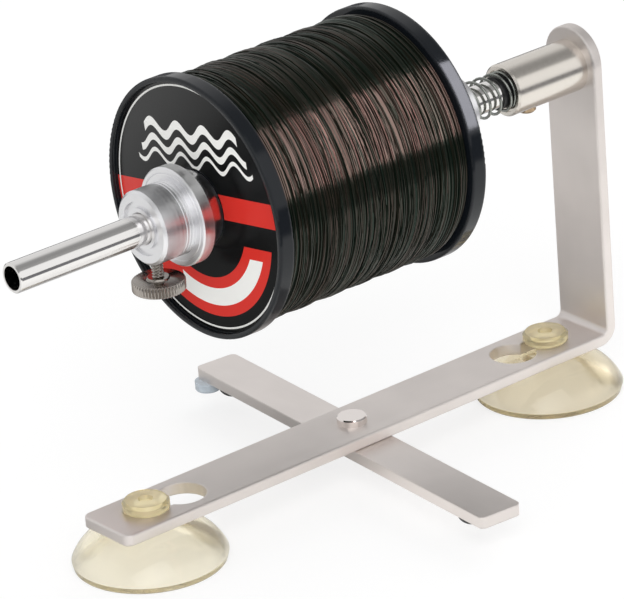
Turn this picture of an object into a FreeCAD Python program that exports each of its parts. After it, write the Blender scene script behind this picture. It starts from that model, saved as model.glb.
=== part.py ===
import FreeCAD, Part
import math
import os
from types import SimpleNamespace

import Sketcher

# Fishing line winder: a bent flat bar on two suction cups carries a long tube shaft.
# A spool of line turns on that shaft between two taper hubs, pressed together by a spring.
# Millimetres, +Z up, the shaft along X with its free end towards -X.  The origin lies on the
# table, under the middle of the whole object.  All angles are in degrees.

SIZES = [
    # bent bar
    ("bar_width", 30.0, "width of the bent flat bar"),
    ("bar_thickness", 5.0, "thickness of both flat bars"),
    ("bend_radius", 3.0, "inner radius of the bend"),
    ("base_reach", 260.0, "front end of the base to the inner face of the upright"),
    ("front_corner_radius", 3.5, "rounded corners at the front end of the base"),
    ("bar_edge", 0.5, "chamfer around the faces of the bent bar"),
    ("shaft_height", 119.0, "shaft axis above the top of the base"),
    ("crown_rise", 2.0, "centre of the round top above the shaft axis"),
    ("bolt_hole_diameter", 6.4, "hole in the upright for the housing bolt"),
    # cross bar
    ("pivot_setback", 130.0, "cross bar pivot in front of the upright"),
    ("cross_bar_length", 202.0, "length of the cross bar"),
    ("cross_bar_width", 20.0, "width of the cross bar"),
    ("cross_bar_corner", 2.5, "rounded corners of the cross bar"),
    ("cross_bar_angle", -4.15, "turn of the cross bar from square, as it stands"),
    ("rivet_head_diameter", 12.7, "head of the pivot rivet"),
    ("rivet_head_height", 3.0, "height of that head"),
    ("rivet_head_edge", 0.5, "chamfer of that head"),
    ("rivet_shank_diameter", 6.0, "shank of the pivot rivet"),
    ("rivet_tail_diameter", 9.0, "formed tail of the pivot rivet"),
    ("rivet_tail_height", 2.0, "height of that tail"),
    ("foot_diameter", 13.0, "rubber foot under the cross bar"),
    ("foot_height", 4.6, "height of a rubber foot"),
    ("foot_skirt_height", 1.5, "straight side of a rubber foot"),
    ("foot_tip_radius", 3.2, "flat tip of a rubber foot"),
    ("foot_dome_bulge", 4.9, "radius of the arc that shapes a rubber foot"),
    ("foot_inset", 16.5, "rubber foot from the end of the cross bar"),
    ("foot_offset", -2.0, "rubber foot beside the middle line of the cross bar"),
    ("pad_diameter", 11.2, "clear pad under the left end of the cross bar"),
    ("pad_height", 4.2, "height of the clear pad"),
    ("pad_edge", 1.0, "rounded lower edge of the clear pad"),
    ("pad_gap", 0.3, "clear pad from the rubber foot beside it"),
    ("pad_bearing", 29.0, "direction from that foot to the pad, off the cross bar's length"),
    # suction cups
    ("cup_rim_radius", 32.0, "largest radius of a suction cup"),
    ("cup_height", 17.4, "rim to shoulder of a suction cup"),
    ("cup_shoulder_radius", 8.5, "flat shoulder under the bar"),
    ("cup_dome_bulge", 24.0, "radius of the arc that shapes the dome"),
    ("cup_dome_top_radius", 11.9, "radius where the dome meets its shoulder"),
    ("cup_shoulder_drop", 1.0, "that meeting below the flat shoulder"),
    ("cup_lip_height", 2.5, "height of the lip"),
    ("cup_lip_width", 1.2, "width of the lip's flat underside"),
    ("cup_lip_setback", 0.6, "flat underside of the lip inside the largest radius"),
    ("cup_hollow_height", 11.5, "height of the hollow"),
    ("cup_neck_diameter", 10.0, "neck in the keyhole slot"),
    ("cup_head_diameter", 19.5, "head above the bar"),
    ("cup_head_height", 4.4, "height of that head"),
    ("cup_head_edge", 1.2, "chamfered upper edge of that head"),
    ("cup_dimple_radius", 3.2, "dimple in the head"),
    ("cup_dimple_floor_radius", 2.6, "floor of the dimple"),
    ("cup_dimple_depth", 1.6, "depth of the dimple"),
    ("front_cup_inset", 21.5, "front suction cup behind the front end of the base"),
    ("rear_cup_setback", 22.0, "rear suction cup in front of the upright"),
    ("keyhole_travel", 18.5, "cup seat to the middle of the keyhole's round end"),
    ("keyhole_clearance", 0.3, "round end of the keyhole around the cup's head, on the radius"),
    ("slot_clearance", 0.2, "keyhole slot around the cup's neck, on the radius"),
    ("stack_gap", 0.1, "gap between the bars and what is clamped loosely on them"),
    # shaft and its housing
    ("shaft_diameter", 12.7, "outer diameter of the shaft"),
    ("shaft_bore", 10.0, "inner diameter of the shaft"),
    ("shaft_reach", 292.0, "free end of the shaft in front of the upright"),
    ("shaft_edge", 0.4, "chamfer at the ends of the shaft"),
    ("shaft_end_gap", 0.3, "gap between the shaft and the closed end of the housing"),
    ("housing_diameter", 22.6, "outer diameter of the shaft housing"),
    ("housing_length", 38.0, "length of the shaft housing"),
    ("housing_edge", 0.8, "chamfer at the front of the housing"),
    ("housing_floor", 8.0, "closed end of the housing"),
    ("spring_seat_diameter", 18.6, "shallow seat for the spring in the housing"),
    ("spring_seat_depth", 1.0, "depth of that seat"),
    ("bush_wall", 0.7, "wall of the black bush"),
    ("bush_depth", 10.0, "bush inside the housing"),
    ("bush_stick_out", 4.5, "bush in front of the housing"),
    ("bolt_diameter", 6.0, "housing bolt"),
    ("bolt_length", 12.0, "housing bolt under its head"),
    ("bolt_head_diameter", 10.6, "button head of the housing bolt"),
    ("bolt_head_height", 3.3, "height of that head"),
    ("bolt_head_skirt", 0.7, "straight side of that head"),
    ("bolt_head_bulge", 4.0, "radius of the arc that shapes that head"),
    ("bolt_crown_radius", 3.2, "flat crown of that head"),
    ("bolt_socket_width", 4.0, "hexagon socket across its flats"),
    ("bolt_socket_depth", 1.9, "depth of the hexagon socket"),
    ("washer_diameter", 14.0, "washer behind the upright"),
    ("washer_thickness", 1.2, "thickness of that washer"),
    ("lock_screw_diameter", 5.0, "lock screw of the housing"),
    ("lock_screw_setback", 25.0, "lock screw in front of the upright"),
    ("lock_screw_head_diameter", 8.0, "head of the lock screw"),
    ("lock_screw_head_height", 2.6, "height of that head"),
    ("lock_screw_edge", 0.9, "chamfer of that head"),
    ("lock_screw_stick_out", 1.7, "lock screw below the housing"),
    ("screw_clearance", 0.05, "screws, rivet and bush in their holes, on the radius"),
    # hubs and spring
    ("running_clearance", 0.08, "hubs on the shaft, on the radius"),
    ("hub_flange_diameter", 41.2, "flange of a hub"),
    ("hub_flange_thickness", 6.0, "thickness of that flange"),
    ("hub_flange_edge", 0.6, "chamfers of that flange"),
    ("hub_collar_diameter", 31.0, "collar of a hub"),
    ("front_collar_length", 15.5, "collar of the front hub"),
    ("rear_collar_length", 21.5, "collar of the rear hub"),
    ("hub_collar_edge", 1.2, "chamfer at the free end of the collar"),
    ("hub_bore_edge", 0.5, "chamfer of the bore at the free end"),
    ("face_groove_inner", 8.6, "inner radius of the groove in the front hub's face"),
    ("face_groove_outer", 11.3, "outer radius of that groove"),
    ("face_groove_depth", 1.2, "depth of that groove"),
    ("flange_groove_radius", 18.2, "middle of the fine groove in the flange"),
    ("fine_groove_width", 0.5, "width of a fine turned groove"),
    ("fine_groove_depth", 0.3, "depth of a fine turned groove"),
    ("collar_groove_pitch", 1.5, "spacing of the fine grooves around the collar"),
    ("nose_root_radius", 19.0, "hub's cone at the flange"),
    ("nose_tip_radius", 11.5, "hub's cone at its end"),
    ("nose_length", 16.0, "length of the hub's cone"),
    ("seat_clearance", 0.1, "hub's cone inside the spool's bore, on the radius"),
    ("spring_wire", 1.4, "wire of the drag spring"),
    ("spring_diameter", 17.6, "outer diameter of the drag spring"),
    ("spring_pitch", 5.4, "pitch of the drag spring"),
    # thumb screw
    ("thumb_screw_setback", 6.2, "thumb screw behind the front face of the front hub"),
    ("thumb_stud_diameter", 5.0, "stud of the thumb screw"),
    ("thumb_head_drop", 23.3, "near face of the thumb screw's head below the shaft axis"),
    ("thumb_head_diameter", 21.8, "head of the thumb screw"),
    ("thumb_head_height", 4.9, "height of that head"),
    ("thumb_head_edge", 0.5, "chamfers of that head"),
    ("thumb_boss_diameter", 9.0, "boss between stud and head"),
    ("thumb_boss_height", 1.0, "height of that boss"),
    # spool
    ("spool_setback", 95.0, "rear rim of the spool in front of the upright"),
    ("spool_width", 107.0, "width over both rims"),
    ("spool_radius", 54.7, "outer radius of the spool's flanges"),
    ("spool_rim_width", 7.0, "width of a flange's rim"),
    ("spool_rim_wall", 2.2, "wall of that rim"),
    ("spool_rim_edge", 0.7, "rounded edges of the rim"),
    ("spool_recess", 2.8, "depth of the recess inside the rim"),
    ("spool_bore_radius", 15.5, "bore of the spool"),
    ("core_outer_radius", 23.0, "outer radius of the core tube"),
    ("core_inner_radius", 20.0, "inner radius of the core tube"),
    ("winding_radius", 52.6, "outer radius of the wound line, on top of its mounds"),
    ("winding_valley_depth", 0.9, "depth of the valleys between the mounds of wound line"),
    ("winding_gap", 0.1, "gap around the wound line"),
    ("label_thickness", 0.3, "thickness of the front label"),
    ("label_margin", 0.4, "front label inside the rim"),
    ("label_hole_radius", 16.5, "hole of the front label"),
]

LEFT_TURN = 1
RIGHT_TURN = -1
TRIM = 2.0
SAME = 0.01
QUARTER_TURN = 90
HALF_TURN = 180
FULL_TURN = 360
HEXAGON_CORNERS = 6
COLLAR_GROOVES = 3
WINDING_MOUNDS = 6


class Length:
    """A size that carries both its expression for the sheet and its present value."""

    def __init__(self, text, value):
        self.text = text
        self.value = value

    def joined(self, sign, other, value):
        return Length(f"({self.text} {sign} {other.text})", value)

    def __add__(self, other):
        other = as_length(other)
        return self.joined("+", other, self.value + other.value)

    def __sub__(self, other):
        other = as_length(other)
        return self.joined("-", other, self.value - other.value)

    def __mul__(self, other):
        other = as_length(other)
        return self.joined("*", other, self.value * other.value)

    def __truediv__(self, other):
        other = as_length(other)
        return self.joined("/", other, self.value / other.value)

    def __neg__(self):
        return Length(f"(0 - {self.text})", -self.value)


def as_length(thing):
    return thing if isinstance(thing, Length) else Length(repr(thing), thing)


def sine(angle):
    return Length(f"sin({angle.text})", math.sin(math.radians(angle.value)))


def cosine(angle):
    return Length(f"cos({angle.text})", math.cos(math.radians(angle.value)))


def fill_sheet():
    """Write every driving dimension into the sheet and hand back the named sizes."""
    sheet = document.addObject("Spreadsheet::Sheet", "Sizes")
    named = {}
    for row, (name, value, meaning) in enumerate(SIZES, start=1):
        sheet.set(f"A{row}", name)
        sheet.set(f"B{row}", str(value))
        sheet.set(f"C{row}", meaning)
        sheet.setAlias(f"B{row}", name)
        named[name] = Length(f"Sizes.{name}", value)
    document.recompute()
    return SimpleNamespace(**named)


def bind(thing, path, length):
    thing.setExpression(path, as_length(length).text)


def place(thing, x=0, y=0, z=0):
    """Tie the placement of a sub-part to the sheet."""
    for letter, length in (("x", x), ("y", y), ("z", z)):
        bind(thing, f"Placement.Base.{letter}", length)


def turn_about_z(thing, angle):
    thing.Placement.Rotation = FreeCAD.Rotation(FreeCAD.Vector(0, 0, 1), as_length(angle).value)
    bind(thing, "Placement.Rotation.Angle", angle)


def new_body(name):
    body = document.addObject("PartDesign::Body", name)
    body.Label = name
    return body


def new_sketch(body, role, offset=0):
    """A sketch on one of the body's own origin planes, moved along the plane's normal."""
    sketch = body.newObject("Sketcher::SketchObject", f"{body.Name}_sketch")
    plane = next(datum for datum in body.Origin.OriginFeatures if datum.Role == role)
    sketch.AttachmentSupport = [(plane, "")]
    sketch.MapMode = "FlatFace"
    bind(sketch, "AttachmentOffset.Base.z", offset)
    return sketch


def arc_between(start, end, radius, turn):
    """The shorter arc between two points, whose centre lies to the left or right of the way."""
    chord = end - start
    middle = (start + end) / 2
    rise = math.sqrt(max(radius ** 2 - (chord.Length / 2) ** 2, 0))
    centre = middle + FreeCAD.Vector(-chord.y, chord.x, 0).normalize() * rise * turn
    angles = [math.atan2(point.y - centre.y, point.x - centre.x) for point in (start, end)]
    if turn == RIGHT_TURN:
        angles.reverse()
    return Part.ArcOfCircle(Part.Circle(centre, FreeCAD.Vector(0, 0, 1), radius), *angles)


def add_loop(sketch, corners):
    """Draw a closed outline; a corner is (across, up) or (across, up, radius, turn) before an arc."""
    corners = [tuple(as_length(entry) for entry in corner) for corner in corners]
    points = [FreeCAD.Vector(across.value, up.value, 0) for across, up, *arc in corners]
    edges = []
    for index, (across, up, *arc) in enumerate(corners):
        start, end = points[index], points[(index + 1) % len(points)]
        if arc:
            radius, turn = arc
            geometry = arc_between(start, end, radius.value, turn.value)
            first, last = (1, 2) if turn.value == LEFT_TURN else (2, 1)
        else:
            geometry = Part.LineSegment(start, end)
            first, last = 1, 2
        edges.append((sketch.addGeometry(geometry, False), first, last))
    for index, (across, up, *arc) in enumerate(corners):
        edge, first, last = edges[index]
        following, follow_first, _ = edges[(index + 1) % len(edges)]
        sketch.addConstraint(Sketcher.Constraint("Coincident", edge, last, following, follow_first))
        for kind, length in (("DistanceX", across), ("DistanceY", up)):
            number = sketch.addConstraint(Sketcher.Constraint(kind, -1, 1, edge, first, length.value))
            bind(sketch, f"Constraints[{number}]", length)
        if arc:
            radius = arc[0]
            number = sketch.addConstraint(Sketcher.Constraint("Radius", edge, radius.value))
            bind(sketch, f"Constraints[{number}]", radius)


def add_circle(sketch, across, up, radius):
    across, up, radius = as_length(across), as_length(up), as_length(radius)
    centre = FreeCAD.Vector(across.value, up.value, 0)
    circle = sketch.addGeometry(Part.Circle(centre, FreeCAD.Vector(0, 0, 1), radius.value), False)
    for kind, length in (("DistanceX", across), ("DistanceY", up)):
        number = sketch.addConstraint(Sketcher.Constraint(kind, -1, 1, circle, 3, length.value))
        bind(sketch, f"Constraints[{number}]", length)
    number = sketch.addConstraint(Sketcher.Constraint("Radius", circle, radius.value))
    bind(sketch, f"Constraints[{number}]", radius)


def turned(name, axis, corners):
    """A body turned about X (corners are along, radius) or about Z (corners are radius, up)."""
    body = new_body(name)
    sketch = new_sketch(body, "XZ_Plane")
    add_loop(sketch, corners)
    revolution = body.newObject("PartDesign::Revolution", f"{name}_turned")
    revolution.Profile = sketch
    revolution.ReferenceAxis = (sketch, ["H_Axis" if axis == "X" else "V_Axis"])
    revolution.Angle = FULL_TURN
    sketch.Visibility = False
    document.recompute()
    return body


def pad(body, sketch, thickness):
    feature = body.newObject("PartDesign::Pad", f"{body.Name}_pad")
    feature.Profile = sketch
    feature.SideType = "Symmetric"
    bind(feature, "Length", thickness)
    document.recompute()
    return feature


def cut(body, sketch, side="Symmetric"):
    """Cut a sketch right through the body, to both sides or only against the sketch's normal."""
    before = body.Shape.Volume
    pocket = body.newObject("PartDesign::Pocket", f"{body.Name}_cut")
    pocket.Profile = sketch
    pocket.Type = "ThroughAll"
    pocket.SideType = side
    document.recompute()
    if not body.Shape.Volume < before:
        raise RuntimeError(f"{pocket.Name} takes nothing away")
    return pocket


document = FreeCAD.newDocument("fishing_line_winder")
size = fill_sheet()

# Places worked out from the driving dimensions.  The upright's inner face is where everything
# along the shaft is measured from; the shaft's free end and the rear cup's rim are equally far
# from the origin.
rear_overhang = size.cup_rim_radius - size.rear_cup_setback
upright = (size.shaft_reach - rear_overhang) / 2
base_bottom = size.cup_height + size.stack_gap
base_top = base_bottom + size.bar_thickness
axis_height = base_top + size.shaft_height
crown_centre = axis_height + size.crown_rise
base_front = upright - size.base_reach
pivot = upright - size.pivot_setback
cross_top = base_bottom - size.stack_gap
cross_bottom = cross_top - size.bar_thickness
foot_reach = size.cross_bar_length / 2 - size.foot_inset
front_cup_seat = base_front + size.front_cup_inset
rear_cup_seat = upright - size.rear_cup_setback
shaft_radius = size.shaft_diameter / 2
hub_bore_radius = shaft_radius + size.running_clearance
screw_tip = shaft_radius + size.screw_clearance
bush_inner = shaft_radius + size.screw_clearance
bush_outer = bush_inner + size.bush_wall
spool_rear = upright - size.spool_setback
spool_front = spool_rear - size.spool_width
nose_slope = (size.nose_root_radius - size.nose_tip_radius) / size.nose_length
seat_depth = (size.nose_root_radius - size.spool_bore_radius + size.seat_clearance) / nose_slope
hub_standoff = seat_depth - size.spool_recess
front_hub_place = spool_front - hub_standoff
rear_hub_place = spool_rear + hub_standoff
housing_face = upright - size.housing_length


def base_bracket():
    """The bent flat bar: base with two keyholes, upright with a round top."""
    body = new_body("base_bracket")
    outer_bend = size.bend_radius + size.bar_thickness
    outer_face = upright + size.bar_thickness
    bar_end = crown_centre + size.bar_width / 2 + TRIM
    side_view = new_sketch(body, "XZ_Plane")
    add_loop(side_view, [
        (base_front, base_bottom),
        (outer_face - outer_bend, base_bottom, outer_bend, LEFT_TURN),
        (outer_face, base_bottom + outer_bend),
        (outer_face, bar_end),
        (upright, bar_end),
        (upright, base_top + size.bend_radius, size.bend_radius, RIGHT_TURN),
        (upright - size.bend_radius, base_top),
        (base_front, base_top),
    ])
    pad(body, side_view, size.bar_width)

    crown = new_sketch(body, "YZ_Plane")
    half = size.bar_width / 2
    add_loop(crown, [
        (half, crown_centre, half, LEFT_TURN),
        (0, crown_centre + half, half, LEFT_TURN),
        (-half, crown_centre),
        (-(half + TRIM), crown_centre),
        (-(half + TRIM), bar_end + TRIM),
        (half + TRIM, bar_end + TRIM),
        (half + TRIM, crown_centre),
    ])
    cut(body, crown)

    round_front_corners(body)
    chamfer_rim(body)

    openings = new_sketch(body, "XY_Plane")
    hole_radius = size.cup_head_diameter / 2 + size.keyhole_clearance
    for seat, way in ((front_cup_seat, 1), (rear_cup_seat, -1)):
        add_circle(openings, seat + size.keyhole_travel * way, 0, hole_radius)
    add_circle(openings, pivot, 0, size.rivet_shank_diameter / 2 + size.screw_clearance)
    cut(body, openings)

    slots = new_sketch(body, "XY_Plane")
    reach = size.cup_neck_diameter / 2 + size.slot_clearance
    for seat, way in ((front_cup_seat, 1), (rear_cup_seat, -1)):
        turn = LEFT_TURN * way
        add_loop(slots, [
            (seat + size.keyhole_travel * way, reach),
            (seat, reach, reach, turn),
            (seat - reach * way, 0, reach, turn),
            (seat, -reach),
            (seat + size.keyhole_travel * way, -reach),
        ])
    cut(body, slots)

    bolt_hole = new_sketch(body, "YZ_Plane")
    add_circle(bolt_hole, 0, axis_height, size.bolt_hole_diameter / 2)
    cut(body, bolt_hole)
    return body


def edge_names(shape, wanted):
    return [f"Edge{number}" for number, edge in enumerate(shape.Edges, start=1) if wanted(edge)]


def dress_edges(body, kind, path, length, wanted):
    """Fillet or chamfer the edges of the body's tip that a rule picks out."""
    base = body.Tip
    names = edge_names(base.Shape, wanted)
    feature = body.newObject(f"PartDesign::{kind}", f"{body.Name}_{kind.lower()}")
    feature.Base = (base, names)
    bind(feature, path, length)
    document.recompute()


def round_front_corners(body):
    def upright_front_edge(edge):
        span = edge.BoundBox
        is_vertical = span.XLength + span.YLength < span.ZLength * SAME
        return is_vertical and abs(span.XMin - base_front.value) < SAME

    dress_edges(body, "Fillet", "Radius", size.front_corner_radius, upright_front_edge)


def chamfer_rim(body):
    """Break the edges around the bar's two broad faces, but not the seams of the bend."""
    def rim_edge(edge):
        span = edge.BoundBox
        is_line = edge.Curve.TypeId == "Part::GeomLine"
        is_seam = is_line and abs(span.YLength - size.bar_width.value) < SAME
        is_thickness = is_line and abs(edge.Length - size.bar_thickness.value) < SAME
        return not is_seam and not is_thickness

    dress_edges(body, "Chamfer", "Size", size.bar_edge, rim_edge)


def pivot_rivet():
    """The rivet through both bars that the cross bar turns about."""
    shank = size.rivet_shank_diameter / 2
    head = size.rivet_head_diameter / 2
    tail = size.rivet_tail_diameter / 2
    head_edge = size.rivet_head_edge
    tail_top = cross_bottom - size.stack_gap
    head_top = base_top + size.rivet_head_height
    body = turned("pivot_rivet", "Z", [
        (0, tail_top - size.rivet_tail_height),
        (tail, tail_top - size.rivet_tail_height),
        (tail, tail_top),
        (shank, tail_top),
        (shank, base_top),
        (head, base_top),
        (head, head_top - head_edge),
        (head - head_edge, head_top),
        (0, head_top),
    ])
    place(body, x=pivot)


def cross_bar():
    """The flat bar that swings out under the base."""
    body = new_body("cross_bar")
    across = size.cross_bar_width / 2
    along = size.cross_bar_length / 2
    corner = size.cross_bar_corner
    outline = new_sketch(body, "XY_Plane")
    add_loop(outline, [
        (across, corner - along),
        (across, along - corner, corner, LEFT_TURN),
        (across - corner, along),
        (corner - across, along, corner, LEFT_TURN),
        (-across, along - corner),
        (-across, corner - along, corner, LEFT_TURN),
        (corner - across, -along),
        (across - corner, -along, corner, LEFT_TURN),
    ])
    add_circle(outline, 0, 0, size.rivet_shank_diameter / 2 + size.screw_clearance)
    pad(body, outline, size.bar_thickness)
    place(body, x=pivot, z=(cross_top + cross_bottom) / 2)
    turn_about_z(body, size.cross_bar_angle)


def under_cross_bar(body, beside, along):
    """Set a foot or pad under the cross bar, from its place in the bar's own directions."""
    angle = size.cross_bar_angle
    beside, along = as_length(beside), as_length(along)
    place(
        body,
        x=pivot + beside * cosine(angle) - along * sine(angle),
        y=beside * sine(angle) + along * cosine(angle),
        z=cross_bottom,
    )
    turn_about_z(body, angle)


def rubber_foot(name, side):
    """A domed rubber foot."""
    radius = size.foot_diameter / 2
    body = turned(name, "Z", [
        (0, -size.foot_height),
        (size.foot_tip_radius, -size.foot_height, size.foot_dome_bulge, LEFT_TURN),
        (radius, -size.foot_skirt_height),
        (radius, 0),
        (0, 0),
    ])
    under_cross_bar(body, size.foot_offset, foot_reach * side)


def clear_pad():
    """The clear pad at the left end of the cross bar, beside the rubber foot."""
    radius = size.pad_diameter / 2
    edge = size.pad_edge
    from_foot = size.foot_diameter / 2 + radius + size.pad_gap
    body = turned("clear_pad", "Z", [
        (0, -size.pad_height),
        (radius - edge, -size.pad_height, edge, LEFT_TURN),
        (radius, edge - size.pad_height),
        (radius, 0),
        (0, 0),
    ])
    under_cross_bar(
        body,
        size.foot_offset - from_foot * sine(size.pad_bearing),
        foot_reach + from_foot * cosine(size.pad_bearing),
    )


def suction_cup(name, seat):
    """A soft cup whose neck sits in the slot and whose head lies on the base."""
    neck = size.cup_neck_diameter / 2
    head = size.cup_head_diameter / 2
    head_bottom = base_top + size.stack_gap
    head_top = head_bottom + size.cup_head_height
    lip_underside = size.cup_rim_radius - size.cup_lip_setback
    hollow = lip_underside - size.cup_lip_width
    hollow_bulge = (hollow * hollow / size.cup_hollow_height + size.cup_hollow_height) / 2
    body = turned(name, "Z", [
        (hollow, 0),
        (lip_underside, 0),
        (size.cup_rim_radius, size.cup_lip_height, size.cup_dome_bulge, LEFT_TURN),
        (size.cup_dome_top_radius, size.cup_height - size.cup_shoulder_drop),
        (size.cup_shoulder_radius, size.cup_height),
        (neck, size.cup_height),
        (neck, head_bottom),
        (head - size.cup_head_edge / 2, head_bottom),
        (head, head_bottom + size.cup_head_edge / 2),
        (head, head_top - size.cup_head_edge),
        (head - size.cup_head_edge, head_top),
        (size.cup_dimple_radius, head_top),
        (size.cup_dimple_floor_radius, head_top - size.cup_dimple_depth),
        (0, head_top - size.cup_dimple_depth),
        (0, size.cup_hollow_height, hollow_bulge, RIGHT_TURN),
    ])
    place(body, x=seat)


def shaft_housing():
    """The turned sleeve on the upright that holds the shaft."""
    radius = size.housing_diameter / 2
    bush_seat = bush_outer + size.screw_clearance
    seat_radius = size.spring_seat_diameter / 2
    bolt_bore = size.bolt_diameter / 2 + size.screw_clearance
    front = -size.housing_length
    body = turned("shaft_housing", "X", [
        (0, bolt_bore),
        (0, radius),
        (front + size.housing_edge, radius),
        (front, radius - size.housing_edge),
        (front, seat_radius),
        (front + size.spring_seat_depth, seat_radius),
        (front + size.spring_seat_depth, bush_seat),
        (front + size.bush_depth, bush_seat),
        (front + size.bush_depth, bush_inner),
        (-size.housing_floor, bush_inner),
        (-size.housing_floor, bolt_bore),
    ])
    stud_hole = new_sketch(body, "XY_Plane")
    add_circle(
        stud_hole, -size.lock_screw_setback, 0, size.lock_screw_diameter / 2 + size.screw_clearance
    )
    cut(body, stud_hole, side="One side")
    head_bottom = radius + size.lock_screw_stick_out - size.lock_screw_head_height
    head_seat = new_sketch(body, "XY_Plane", offset=-head_bottom)
    add_circle(
        head_seat,
        -size.lock_screw_setback,
        0,
        size.lock_screw_head_diameter / 2 + size.screw_clearance,
    )
    cut(body, head_seat, side="One side")
    place(body, x=upright, z=axis_height)


def shaft_bush():
    """The black bush around the shaft at the mouth of the housing."""
    front = -(size.bush_depth + size.bush_stick_out)
    body = turned("shaft_bush", "X", [
        (front, bush_inner),
        (0, bush_inner),
        (0, bush_outer),
        (front, bush_outer),
    ])
    place(body, x=housing_face + size.bush_depth, z=axis_height)


def housing_bolt():
    """The button-head bolt that holds the housing on the upright."""
    shank = size.bolt_diameter / 2
    head = size.bolt_head_diameter / 2
    head_top = size.bolt_head_height
    body = turned("housing_bolt", "X", [
        (-size.bolt_length, 0),
        (-size.bolt_length, shank),
        (0, shank),
        (0, head),
        (size.bolt_head_skirt, head, size.bolt_head_bulge, LEFT_TURN),
        (head_top, size.bolt_crown_radius),
        (head_top, 0),
    ][::-1])
    socket = new_sketch(body, "YZ_Plane", offset=head_top - size.bolt_socket_depth)
    flat_angle = math.radians(HALF_TURN / HEXAGON_CORNERS)
    corner_radius = size.bolt_socket_width / 2 / math.cos(flat_angle)
    corners = []
    for number in range(HEXAGON_CORNERS):
        angle = math.radians(FULL_TURN * number / HEXAGON_CORNERS)
        corners.append((corner_radius * math.cos(angle), corner_radius * math.sin(angle)))
    add_loop(socket, corners)
    before = body.Shape.Volume
    pocket = body.newObject("PartDesign::Pocket", "housing_bolt_socket")
    pocket.Profile = socket
    pocket.Reversed = True
    bind(pocket, "Length", size.bolt_socket_depth)
    document.recompute()
    if not body.Shape.Volume < before:
        raise RuntimeError("the bolt's socket takes nothing away")
    place(body, x=upright + size.bar_thickness + size.washer_thickness, z=axis_height)


def housing_washer():
    body = turned("housing_washer", "X", [
        (0, size.bolt_hole_diameter / 2),
        (size.washer_thickness, size.bolt_hole_diameter / 2),
        (size.washer_thickness, size.washer_diameter / 2),
        (0, size.washer_diameter / 2),
    ])
    place(body, x=upright + size.bar_thickness, z=axis_height)


def housing_lock_screw():
    """The brass screw under the housing that holds the shaft."""
    bottom = size.housing_diameter / 2 + size.lock_screw_stick_out
    stud = size.lock_screw_diameter / 2
    head = size.lock_screw_head_diameter / 2
    edge = size.lock_screw_edge
    body = turned("housing_lock_screw", "Z", [
        (0, -bottom),
        (head - edge, -bottom),
        (head, edge - bottom),
        (head, size.lock_screw_head_height - bottom),
        (stud, size.lock_screw_head_height - bottom),
        (stud, -screw_tip),
        (0, -screw_tip),
    ])
    place(body, x=upright - size.lock_screw_setback, z=axis_height)


def shaft():
    """The long polished tube."""
    inner = size.shaft_bore / 2
    length = size.shaft_reach - size.housing_floor - size.shaft_end_gap
    edge = size.shaft_edge
    body = turned("shaft", "X", [
        (0, inner),
        (length, inner),
        (length, shaft_radius - edge),
        (length - edge, shaft_radius),
        (edge, shaft_radius),
        (0, shaft_radius - edge),
    ])
    place(body, x=upright - size.shaft_reach, z=axis_height)


def taper_hub(name, toward_spool, collar_length, has_face_groove):
    """A turned hub: cone for the spool's bore, flange, and a collar on the shaft."""
    flange_back = -size.hub_flange_thickness
    face = flange_back - collar_length
    flange = size.hub_flange_diameter / 2
    collar = size.hub_collar_diameter / 2
    edge = size.hub_flange_edge
    half_groove = size.fine_groove_width / 2
    outline = [
        (size.nose_length, hub_bore_radius),
        (size.nose_length, size.nose_tip_radius),
        (as_length(0), size.nose_root_radius),
        (as_length(0), flange - edge),
        (-edge, flange),
        (flange_back + edge, flange),
        (flange_back, flange - edge),
        (flange_back, size.flange_groove_radius + half_groove),
        (flange_back + size.fine_groove_depth, size.flange_groove_radius),
        (flange_back, size.flange_groove_radius - half_groove),
        (flange_back, collar),
    ]
    for number in range(1, COLLAR_GROOVES + 1):
        middle = flange_back - size.collar_groove_pitch * number
        outline += [
            (middle + half_groove, collar),
            (middle, collar - size.fine_groove_depth),
            (middle - half_groove, collar),
        ]
    outline += [
        (face + size.hub_collar_edge, collar),
        (face, collar - size.hub_collar_edge),
    ]
    if has_face_groove:
        outline += [
            (face, size.face_groove_outer),
            (face + size.face_groove_depth, size.face_groove_outer),
            (face + size.face_groove_depth, size.face_groove_inner),
            (face, size.face_groove_inner),
        ]
    outline += [
        (face, hub_bore_radius + size.hub_bore_edge),
        (face + size.hub_bore_edge, hub_bore_radius),
    ]
    return turned(name, "X", [(along * toward_spool, radius) for along, radius in outline])


def front_hub():
    """The hub in front of the spool, with the tapped hole for the thumb screw."""
    body = taper_hub("front_hub", 1, size.front_collar_length, has_face_groove=True)
    hub_length = size.hub_flange_thickness + size.front_collar_length
    tapped_hole = new_sketch(body, "XY_Plane")
    add_circle(
        tapped_hole,
        size.thumb_screw_setback - hub_length,
        0,
        size.thumb_stud_diameter / 2 + size.screw_clearance,
    )
    cut(body, tapped_hole, side="One side")
    place(body, x=front_hub_place, z=axis_height)


def rear_hub():
    """The hub behind the spool, which the spring presses forward."""
    body = taper_hub("rear_hub", -1, size.rear_collar_length, has_face_groove=False)
    place(body, x=rear_hub_place, z=axis_height)


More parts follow.
